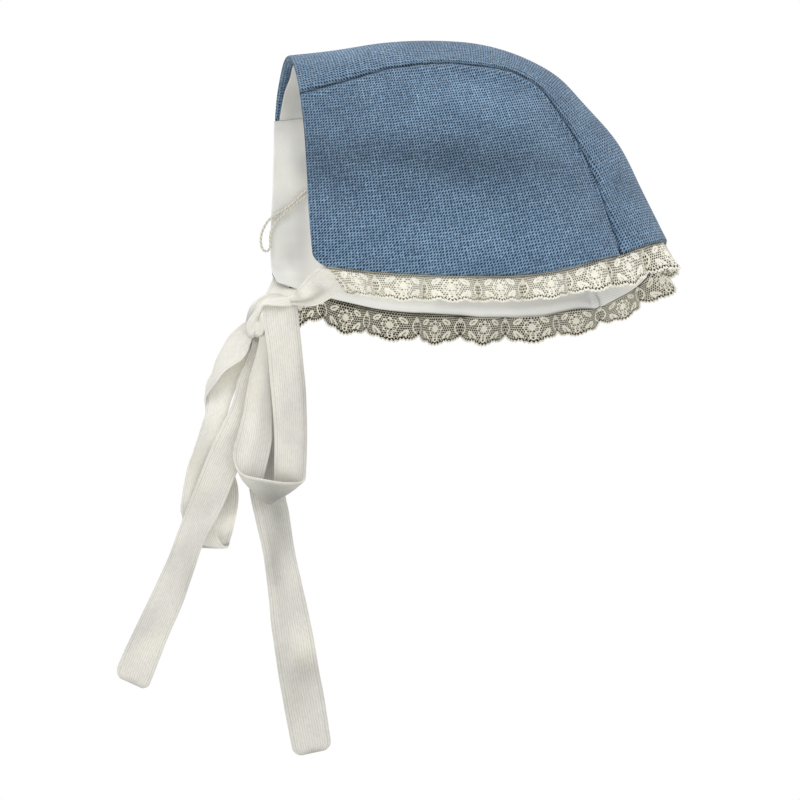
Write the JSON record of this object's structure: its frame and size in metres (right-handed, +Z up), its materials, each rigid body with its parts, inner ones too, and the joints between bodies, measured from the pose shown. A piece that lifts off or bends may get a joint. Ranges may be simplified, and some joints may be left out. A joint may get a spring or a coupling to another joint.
{
  "type": "baby bonnet",
  "caption": "Baby's bonnet of coarse open weave over a smooth lining, with gathered lace round the neck edge and ribbed tapes that tie in a bow under the chin",
  "frame": {"origin": "top of the wearer's head, where it touches the inside of the crown lining on the centre plane", "axes": "+X from the face to the back of the head, +Y to the wearer's right, +Z up"},
  "size_m": [0.2404, 0.1022, 0.3063],
  "materials": {
    "outer_weave": "coarse open weave",
    "lining": "smooth fine twill",
    "lace": "openwork lace",
    "tape": "ribbed cotton tape",
    "thread": "twisted cotton thread"
  },
  "bodies": {
    "root": {"crown_band": "outer_weave", "side_panel_left": "outer_weave", "side_panel_right": "outer_weave", "lining_band": "lining", "lining_left": "lining", "lining_right": "lining", "lace_trim": "lace", "bow_knot": "tape", "tie_left": "tape", "tie_right": "tape", "bow_loop_aft": "tape", "tail_fore": "tape", "tail_aft": "tape", "bow_loop_fore": "tape", "hang_loop": "thread"}
  },
  "joints": []
}
